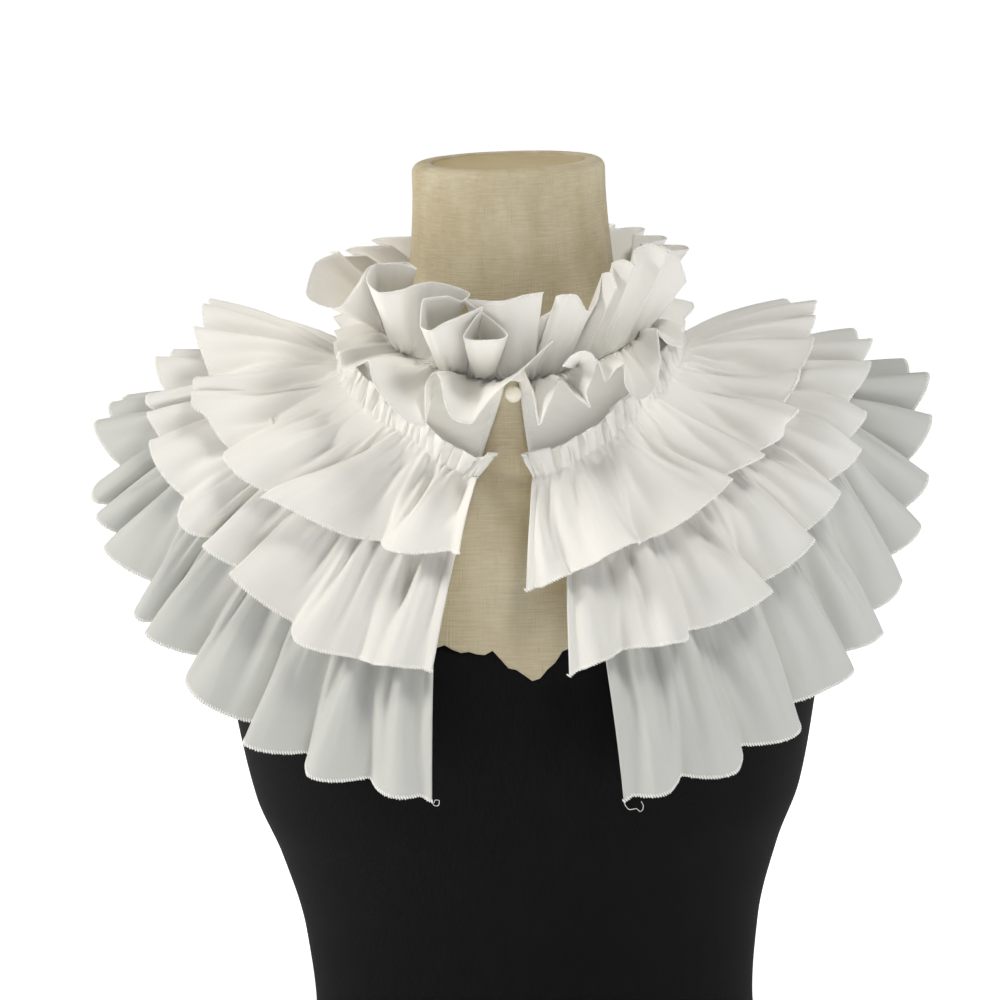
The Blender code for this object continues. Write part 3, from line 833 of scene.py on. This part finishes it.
def overlock(name, grid, seed):
    """The overlocked edge of a strip, along the last row of its grid."""
    out = unit(grid[-1] - grid[-2])
    return sew(
        name, grid[-1] - out * 0.7, out,
        Spacing=0.0015, Across=0.0030, Along=0.0011, Thickness=0.0010, Slant=0.45, Seed=seed,
    )


def tier(name, hem_table, left, right, back_width, depth, seed, below, under, gathers, pinched=0.8, **line):
    """One tier: its fine grid, and the coarse surface of its crests, which the next tier lies on."""
    seam, _ = gather_curve(name, CREST_LIFT, **line)
    hem, length = table_curve(hem_table)
    folds = fold_list(length, left, right, back_width, depth, seed)
    crests = crest_surface(seam, hem, COARSE_SHARES, COARSE_PLACES, belly=4.0)
    crests = keep_clear(crests, below, room=depth)
    base = refined(crests, COARSE_SHARES, FINE_SHARES, FINE_COLUMNS)
    return fluted(base, FINE_SHARES, folds, seed, gathers, under, pinched), crests


form_skin = np.array([on_form(np.linspace(0, -360, 145), z, 0.0) for z in np.linspace(695, 417, 90)])
on_yoke = (form_skin, YOKE_LIFT + SOLID_CLOTH + SEAM_GAP + FACET_ROOM)
touching_yoke = (form_skin, YOKE_LIFT + TOUCHING)
tier_3_grid, tier_3_crests = tier(
    "tier_3", TIER_3_HEM, TIER_3_LEFT, TIER_3_RIGHT, 38.0, 16.0, 3, [on_yoke], [touching_yoke], 170
)
# The lowest tier is painted the greyest: painted shade under the tiers above it, and partly the black form
# under it showing faintly.
tier_3 = cloth("tier_3", tier_3_grid, strip_flat(tier_3_grid, FINE_SHARES, width=90.0), shade_and_show_through=0.52)
tier_3_hem = overlock("overlock_tier_3", tier_3_grid, 3)
corner_left, corner_right = tier_3_grid[-1, 0], tier_3_grid[-1, -1]
tails = [
    loose_thread(
        "thread_tail_left", corner_left,
        ((1.5, -1, -1.5), (3.5, -2, -1), (4, -2, 1.5), (2, -2, 2), (1, -1, 0)),
    ),
    loose_thread("thread_tail_right", corner_right, ((1, -1, -2), (3, -2, -3.5), (6, -2, -3), (8, -2, -4.5))),
    loose_thread("thread_end_right", corner_right + (9, -1, 0.5), ((1, -1, -2), (0.5, -2, -4), (-1, -2, -5))),
]

for side, border, inside in (("left", 0, 8), ("right", -1, -9)):
    at_border = yoke_grid[:YOKE_STITCH_ROWS, border]
    inward = unit(yoke_grid[:YOKE_STITCH_ROWS, inside] - at_border)
    seam = sew(
        "yoke_edge_" + side, at_border + inward * YOKE_STITCH_INSET + YOKE_STITCH_LIFT, inward,
        Spacing=0.0030, Across=0.0005, Along=0.0022, Thickness=0.0005, Slant=0.0, Seed=9,
    )


# The middle tier
# The same kind of strip, a little shorter, gathered to the yoke above the lowest one and lying on it.

TIER_2_HEM = (
    (-20, 141, 449), (-33, 150, 452), (-45, 160, 457), (-53, 169, 474), (-62, 180, 498),
    (-70, 190, 514), (-79, 198, 536), (-85, 203, 558), (-91, 207, 573), (-98, 210, 586),
    (-107, 210, 591), (-121, 200, 569), (-139, 174, 518), (-160, 150, 485), (180, 143, 477),
    (160, 150, 485), (139, 171, 518), (122, 194, 562), (109, 204, 590), (100, 205, 592),
    (93, 200, 580), (87, 193, 560), (81, 186, 543), (74, 178, 524), (66, 169, 500),
    (58, 160, 480), (50, 153, 467), (39, 145, 456), (24, 137, 454), (10, 133, 443),
)
TIER_2_LEFT = (
    (42, 7, 0.00), (44, 10, 0.08), (40, 13, 0.28), (30, 12, 0.12), (36, 12, -0.15), (37, 12, 0.28),
    (30, 12, 0.15), (28, 12, -0.20), (30, 12, 0.20),
)
TIER_2_RIGHT = (
    (32, 7, 0.00), (40, 10, 0.12), (46, 12, 0.30), (36, 13, 0.36), (34, 12, 0.32), (30, 12, 0.34),
    (32, 12, 0.22), (32, 12, 0.32), (30, 12, 0.15),
)
tier_2_grid, tier_2_crests = tier(
    "tier_2", TIER_2_HEM, TIER_2_LEFT, TIER_2_RIGHT, 35.0, 12.0, 2,
    [on_yoke, (tier_3_crests, LAYER_GAP)], [touching_yoke, (tier_3_grid, TOUCHING)], 150,
)
tier_2 = cloth("tier_2", tier_2_grid, strip_flat(tier_2_grid, FINE_SHARES, width=80.0), shade_and_show_through=0.16)
tier_2_hem = overlock("overlock_tier_2", tier_2_grid, 2)


# The top tier
# A strip gathered 14 mm below its upper edge. The edge stands above the stitching as a small header,
# and the rest falls over the middle tier.

TIER_1_HEM = (
    (-15, 127, 511), (-27, 132, 509), (-40, 139, 515), (-53, 148, 524), (-64, 157, 533),
    (-75, 167, 552), (-83, 174, 573), (-90, 178, 596), (-98, 180, 616), (-106, 180, 621),
    (-119, 172, 606), (-137, 154, 571), (-158, 135, 543), (180, 129, 534),
    (158, 135, 543), (138, 149, 566), (121, 166, 598), (107, 174, 614), (98, 172, 613),
    (90, 166, 598), (82, 160, 576), (74, 154, 554), (65, 146, 540), (55, 139, 531),
    (42, 129, 514), (28, 122, 505), (12, 117, 491), (1, 116, 486),
)
TIER_1_LEFT = (
    (50, 13, 0.08), (54, 16, 0.38), (56, 15, 0.05), (34, 14, 0.25), (32, 12, -0.15), (28, 12, 0.22),
    (28, 12, 0.20), (30, 12, -0.15),
)
TIER_1_RIGHT = (
    (20, 8, 0.00), (46, 11, 0.20), (52, 12, 0.36), (28, 12, 0.36), (34, 12, 0.34), (32, 12, 0.25),
    (30, 12, 0.30), (28, 12, 0.10),
)
# Each row: azimuth, and how far the gather line runs below the seam there
TIER_1_LOWERED = (
    (-180, 4), (-90, 0), (-70, -4), (-57, -4), (-40, -4), (-28, 1), (-18, 4), (0, 4), (12, 3), (28, -2),
    (45, -6), (60, -8), (75, -6), (90, -1), (180, 4),
)
TIER_1_WIDTH = 80.0
HEADER = 14.0
HEADER_WAVES = 62
HEADER_FINE_WAVES = 130
tier_1_grid, _ = tier(
    "tier_1", TIER_1_HEM, TIER_1_LEFT, TIER_1_RIGHT, 33.0, 12.0, 1,
    [on_yoke, (tier_2_crests, LAYER_GAP)], [touching_yoke, (tier_2_grid, TOUCHING)], 130,
    pinched=2.4, lowered=TIER_1_LOWERED,
)
gather = blurred(tier_1_grid[0], 30, axis=0)
azimuth = np.degrees(np.arctan2(gather[:, 0], -gather[:, 1]))
upward = unit(on_form(azimuth, seam_height(azimuth, "neck"), CREST_LIFT) - gather)
outward = across_grid(np.array([gather + upward, gather, gather - upward]))[1]
along = unit(np.gradient(gather, axis=0))
u = np.linspace(0, 1, FINE_COLUMNS)
uneven = np.random.default_rng(41)
wave = np.sin(2 * np.pi * (HEADER_WAVES * u + 0.35 * drift(u, HEADER_WAVES / 4, uneven)))
fine_wave = np.sin(2 * np.pi * (HEADER_FINE_WAVES * u + 0.3 * drift(u, HEADER_FINE_WAVES / 4, uneven)))
gather_length = np.linalg.norm(np.diff(gather, axis=0), axis=1).sum()
front_flare = 11.0 * np.exp(-u * gather_length / 16.0) - 7.0 * np.exp(-(1 - u) * gather_length / 14.0)
header_shares = (1.0, 0.94, 0.84, 0.72, 0.6, 0.48, 0.36, 0.26, 0.17, 0.09)
header_rows = []
for share in header_shares:
    tall = HEADER * share * (0.92 + 0.10 * drift(u, 14, uneven))
    out = 5.5 * share**0.8 + 2.6 * share * wave + 2.1 * (1 - 0.6 * share) * share**0.3 * fine_wave
    slip = 2.0 * share * np.sin(4 * np.pi * HEADER_WAVES * u) - front_flare * share
    pinch = (tier_1_grid[0] - gather) * (1 - share) ** 2
    header_rows.append(
        gather + pinch + upward * tall[:, None] + outward * out[:, None] + along * slip[:, None]
    )
tier_1_shares = np.concatenate([-np.array(header_shares) * HEADER / TIER_1_WIDTH, FINE_SHARES])
tier_1_grid = np.concatenate([keep_clear(np.array(header_rows), [touching_yoke]), tier_1_grid])
tier_1 = cloth("tier_1", tier_1_grid, strip_flat(tier_1_grid, tier_1_shares, TIER_1_WIDTH), shade_and_show_through=0.03)
tier_1_hem = overlock("overlock_tier_1", tier_1_grid, 1)
stitch_line = tier_1_grid[len(header_rows)] + outward * 0.35
gather_stitches = sew(
    "gathering_stitches", stitch_line, along,
    Spacing=0.0034, Across=0.0024, Along=0.0007, Thickness=0.0006, Slant=0.15, Seed=5,
)


# The neck ruffle
# One strip gathered along its middle and sewn to the neck of the yoke. Its upper half stands round
# the neck in loose loops, and its lower half lies out over the shoulders.

NECK_UPPER_HEM = (
    (10, 91, 638), (-3, 92, 637), (-19, 95, 640), (-36, 99, 654), (-53, 103, 658), (-71, 106, 652),
    (-92, 104, 645), (-114, 102, 646), (-139, 97, 651), (180, 92, 654), (140, 94, 653),
    (115, 93, 649), (92, 96, 645), (70, 100, 646), (49, 100, 652), (32, 97, 648),
    (22, 95, 639), (15, 93, 637),
)
NECK_LOWER_HEM = (
    (-6, 100, 585), (-23, 114, 580), (-44, 122, 597), (-66, 108, 604), (-90, 100, 609),
    (-119, 102, 607), (-149, 101, 604), (180, 99, 601), (151, 101, 604), (121, 101, 607),
    (90, 98, 609), (65, 104, 606), (40, 112, 594), (18, 110, 581), (2, 103, 578),
)
# The front loops, listed one by one, from each end of the strip outwards. Each row: x, y, z
UPPER_LEFT_LOOPS = (
    (16, -98, 642), (6, -100, 641), (-4, -97, 638), (-12, -91, 637), (-26, -86, 638), (-3, -105, 621),
    (-9, -113, 620), (-19, -113, 620), (-26, -106, 621), (-15, -95, 635), (-27, -106, 632), (-36, -116, 630),
    (-43, -119, 627),
    (-48, -114, 629), (-46, -103, 641), (-35, -95, 641), (-26, -88, 637), (-22, -76, 639), (-40, -78, 646),
    (-49, -90, 647), (-59, -97, 645), (-68, -96, 644), (-76, -86, 650), (-71, -73, 656), (-59, -74, 656),
    (-50, -69, 652), (-57, -62, 655), (-74, -66, 654), (-82, -78, 645), (-92, -80, 634), (-101, -66, 633),
    (-111, -50, 638), (-106, -34, 652), (-94, -22, 656), (-100, -8, 654),
)
UPPER_RIGHT_LOOPS = (
    (13, -87, 626), (22, -88, 632), (23, -97, 639), (28, -102, 641), (33, -98, 640), (40, -87, 629),
    (45, -83, 635), (48, -76, 647), (52, -84, 649), (55, -90, 641), (53, -74, 652), (60, -80, 655),
    (65, -84, 652), (65, -64, 657), (74, -64, 661), (84, -68, 655), (80, -50, 658), (89, -52, 652),
    (94, -46, 637), (88, -34, 648), (93, -22, 642), (88, -8, 648),
)
LOWER_LEFT_LOOPS = (
    (20, -103, 616), (12, -107, 610), (2, -110, 601), (-9, -108, 592), (-18, -115, 583), (-24, -120, 577),
    (-32, -119, 579), (-37, -112, 587), (-39, -103, 598), (-42, -99, 601), (-47, -108, 594), (-47, -122, 576),
    (-56, -121, 579), (-66, -115, 588), (-74, -106, 598), (-77, -96, 608), (-84, -92, 604), (-91, -82, 601),
    (-93, -72, 609), (-95, -62, 604), (-97, -48, 610), (-95, -36, 606), (-98, -22, 612), (-95, -8, 608),
)
LOWER_RIGHT_LOOPS = (
    (5, -93, 600), (9, -108, 590), (12, -119, 575), (18, -114, 587), (24, -106, 596), (31, -113, 589),
    (39, -118, 583), (37, -112, 590), (40, -112, 598), (42, -115, 605), (41, -119, 611), (36, -121, 614),
    (29, -119, 611), (25, -113, 605), (31, -104, 605), (39, -100, 606), (44, -101, 603), (47, -105, 594),
    (53, -100, 600), (58, -98, 603), (57, -103, 594), (64, -108, 584), (73, -98, 588), (77, -84, 604),
    (76, -74, 616), (82, -70, 607), (90, -62, 604), (90, -50, 614), (92, -40, 608), (94, -24, 612),
    (93, -8, 608),
)
NECK_COLUMNS = 1201
NECK_GATHERS = 105
NECK_SEED = 21
NECK_SHARES = FINE_SHARES[::2]
NECK_WIDTH = 52.0
BACK_START = 98.0
BACK_TURN = 165.0
BACK_REACH = 105.0
BACK_LOOP = 25.0


def hem_loops(envelope, left, right, out, back, rise=0.0):
    """The hem's points: the listed loops at the front, and even ones round the back."""
    curve, _ = table_curve(envelope)
    turns = -np.degrees(np.unwrap(np.arctan2(curve[:, 0], -curve[:, 1])))
    count = round(math.radians(BACK_TURN) * BACK_REACH / BACK_LOOP)
    rows = list(left)
    for place in range(3 * count):
        part = place % 3
        azimuth = BACK_START + (place // 3 + (0.08, 0.42, 0.70)[part]) * BACK_TURN / count
        lean = (0.0, 1.6, -1.4, 0.6, -0.8)[place // 3 % 5] * (1 if part else -1)
        x, y, z = at(curve, np.interp(azimuth, turns, np.linspace(0, 1, len(curve))))
        size = (0.8, 1.15, 1.0, 0.7, 1.1)[place // 3 % 5]
        reach = math.hypot(x, y) + size * (-back, out, 0.9 * out)[part]
        rows.append(around(-azimuth - lean, reach, z + size * rise * (-1.2, 1.0, 0.8)[part]))
    rows = np.array([*rows, *reversed(right)], float)
    lengths = np.concatenate([[0], np.cumsum(np.linalg.norm(np.diff(rows, axis=0), axis=1))])
    steps = np.linspace(0, lengths[-1], 4001)
    points = np.stack([smooth(steps, lengths, rows[:, k]) for k in range(3)], axis=-1)
    return evenly_spaced(points, NECK_COLUMNS)[0]


def loose_frill(hem, belly, opening):
    """A frill from the neck seam to a looped hem. Its folds grow from the gathers to the loops.

    An opening under 1 keeps the loops wide down to the gathers, and one over 1 draws them in early.
    """
    uneven = np.random.default_rng(NECK_SEED)
    plain = blurred(hem, 1500, axis=0)
    seam, seam_length = gather_curve("neck", CREST_LIFT + FACET_ROOM / 2, edges=(8.0, -7.0))
    lap_over = 4.0 * ease(1.0 - np.linspace(0, seam_length, len(seam)) / 30.0)
    seam += unit(seam * (1.0, 1.0, 0.0)) * lap_over[:, None]
    turns = -np.degrees(np.unwrap(np.arctan2(plain[:, 0], -plain[:, 1])))
    seam_turns = -np.degrees(np.unwrap(np.arctan2(seam[:, 0], -seam[:, 1])))
    places = np.interp(np.maximum.accumulate(turns), seam_turns, np.linspace(0, 1, len(seam)))
    even = np.linspace(0, 1, NECK_COLUMNS)
    root = at(seam, blurred((0.5 * places + 0.5 * even)[:, None], 200, axis=0)[:, 0])
    grid = np.array(
        [root + (plain - root) * share + (hem - plain) * share**opening for share in NECK_SHARES]
    )
    normal = across_grid(blurred(grid, 60, axis=1))
    v = NECK_SHARES[:, None]
    u = even[None, :]
    third = NECK_GATHERS * u + 0.28 * drift(u, NECK_GATHERS / 4, uneven)
    fading = 0.24 + 0.12 * drift(u, NECK_GATHERS / 3, uneven)
    pucker = -1.2 * dip(third, 1.5) * np.exp(-(v / np.maximum(fading, 0.08)) ** 2)
    pucker -= 1.3 * dip(third / 2 + 0.25, 2.0) * ease(v / 0.1) * np.exp(-(v / (1.8 * fading)) ** 2)
    push = pucker + belly * 4 * v * (1 - v)
    return grid + normal * push[:, :, None]


upper_hem = hem_loops(NECK_UPPER_HEM, UPPER_LEFT_LOOPS, UPPER_RIGHT_LOOPS, out=6.0, back=13.0)
lower_hem = hem_loops(NECK_LOWER_HEM, LOWER_LEFT_LOOPS, LOWER_RIGHT_LOOPS, out=4.0, back=6.0, rise=5.0)
standing = loose_frill(upper_hem, belly=0.0, opening=0.72)
lying = loose_frill(lower_hem, belly=2.0, opening=1.1)
lying[0] = standing[0] = (lying[0] + standing[0]) / 2
neck_grid = np.concatenate([standing[:0:-1], lying])
neck_shares = np.concatenate([-NECK_SHARES[:0:-1], NECK_SHARES])
neck_ruffle = cloth("neck_ruffle", neck_grid, strip_flat(neck_grid, neck_shares, NECK_WIDTH), shade_and_show_through=0.05)
upper_edge, lower_edge = (
    sew(
        "rolled_hem_" + side, neck_grid[edge], unit(neck_grid[edge] - neck_grid[beside]),
        Spacing=0.0014, Across=0.0013, Along=0.0014, Thickness=0.0008, Slant=0.5, Seed=seed,
    )
    for side, edge, beside, seed in (("upper", 0, 1, 7), ("lower", -1, -2, 8))
)


# The pearl button
# A round imitation pearl, sewn to the right front edge and held by a thread loop. Only the bead
# itself is made here, without its shank and loop.

BEAD_DIAMETER = 9.0
# Imitation pearl: a cream lacquer with a soft bright gloss
pearl, tree, shader = finish("cream pearl lacquer", 0.2)
shader.inputs["Base Color"].default_value = linear("f6efe0")
shader.inputs["Coat Weight"].default_value = 0.7
shader.inputs["Coat Roughness"].default_value = 0.06
low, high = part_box("pearl_button")
shape = bmesh.new()
bmesh.ops.create_icosphere(shape, subdivisions=4, radius=BEAD_DIAMETER / 2 * MM)
bmesh.ops.translate(shape, vec=(low + high) / 2, verts=shape.verts)
mesh = bpy.data.meshes.new("pearl_bead")
shape.to_mesh(mesh)
shape.free()
mesh.materials.append(pearl)
mesh.shade_smooth()
pearl_bead = placed("pearl_bead", mesh)
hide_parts("pearl_button")
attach(pearl_bead, "root")


# The studio
# A pale floor with low walls far out, a strong light far on the left, one above on the right of the
# front, and weak ones on the right and behind, under a dim even sky. The camera looks slightly down.

FLOOR_REACH = 400.0
FLOOR_LEVEL = -0.0005
WALL_HEIGHT = 28.0
AIM = (0, 0, 0.55)
CAMERA_PLACE = (0.0, -1.6, 0.871)
CAMERA_YAW = 0.378
CAMERA_DOWN = 12.733
CAMERA_ROLL = -1.9

# Matt white paper, lit from behind further out, so that it is as white as the photograph's ground
pale, tree, shader = finish("pale studio paper", 0.95)
shader.inputs["Base Color"].default_value = linear("e6e6e4")
place = add(tree, "ShaderNodeTexCoord")
far = add(tree, "ShaderNodeVectorMath", {0: place.outputs["Object"]}, operation="LENGTH")
glow = add(
    tree, "ShaderNodeMapRange",
    {"Value": far.outputs["Value"], "From Min": 0.28, "From Max": 0.7, "To Max": 0.92},
)
tree.links.new(glow.outputs["Result"], shader.inputs["Emission Strength"])
shader.inputs["Emission Color"].default_value = linear("ffffff")
shader.inputs["Specular IOR Level"].default_value = 0.0
mesh = bpy.data.meshes.new("floor")
corners = [
    (x * FLOOR_REACH, y * FLOOR_REACH, z)
    for z in (FLOOR_LEVEL, WALL_HEIGHT)
    for x, y in ((-1, -1), (1, -1), (1, 1), (-1, 1))
]
walls = [(side, side + 4, (side + 1) % 4 + 4, (side + 1) % 4) for side in range(4)]
mesh.from_pydata(corners, [], [(0, 1, 2, 3), *walls])
mesh.materials.append(pale)
floor = placed("floor", mesh)
floor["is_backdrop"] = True

sky = bpy.data.worlds.new("white sky")
bpy.context.scene.world = sky
sky.use_nodes = True
sky.node_tree.nodes["Background"].inputs["Color"].default_value = linear("eef3f9")
sky.node_tree.nodes["Background"].inputs["Strength"].default_value = 0.16

for name, position, size, power, tint in (
    ("key light", (-2.0, -0.35, 1.8), 0.6, 29.0, "fffaf3"),
    ("top light", (0.8, -0.8, 2.5), 0.7, 21.0, "fffdf8"),
    ("fill light", (1.9, -1.4, 1.2), 1.6, 1.5, "f0f4ff"),
    ("back light", (0.7, 2.3, 1.7), 1.6, 7.0, "f4f8ff"),
):
    light = bpy.data.lights.new(name, "AREA")
    light.size = size
    light.energy = power
    light.color = linear(tint)[:3]
    lamp = placed(name, light)
    lamp.location = position
    lamp.rotation_euler = (Vector(AIM) - Vector(position)).to_track_quat("-Z", "Y").to_euler()

bpy.context.scene.view_settings.view_transform = "Standard"
lens = bpy.data.cameras.new("camera")
lens.lens = 105.12
lens.sensor_width = 36.0
camera = placed("camera", lens)
camera.matrix_world = (
    Matrix.Translation(CAMERA_PLACE)
    @ Matrix.Rotation(math.radians(CAMERA_YAW), 4, "Z")
    @ Matrix.Rotation(math.radians(90 - CAMERA_DOWN), 4, "X")
    @ Matrix.Rotation(math.radians(CAMERA_ROLL), 4, "Z")
)
bpy.context.scene.camera = camera

low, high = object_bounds()
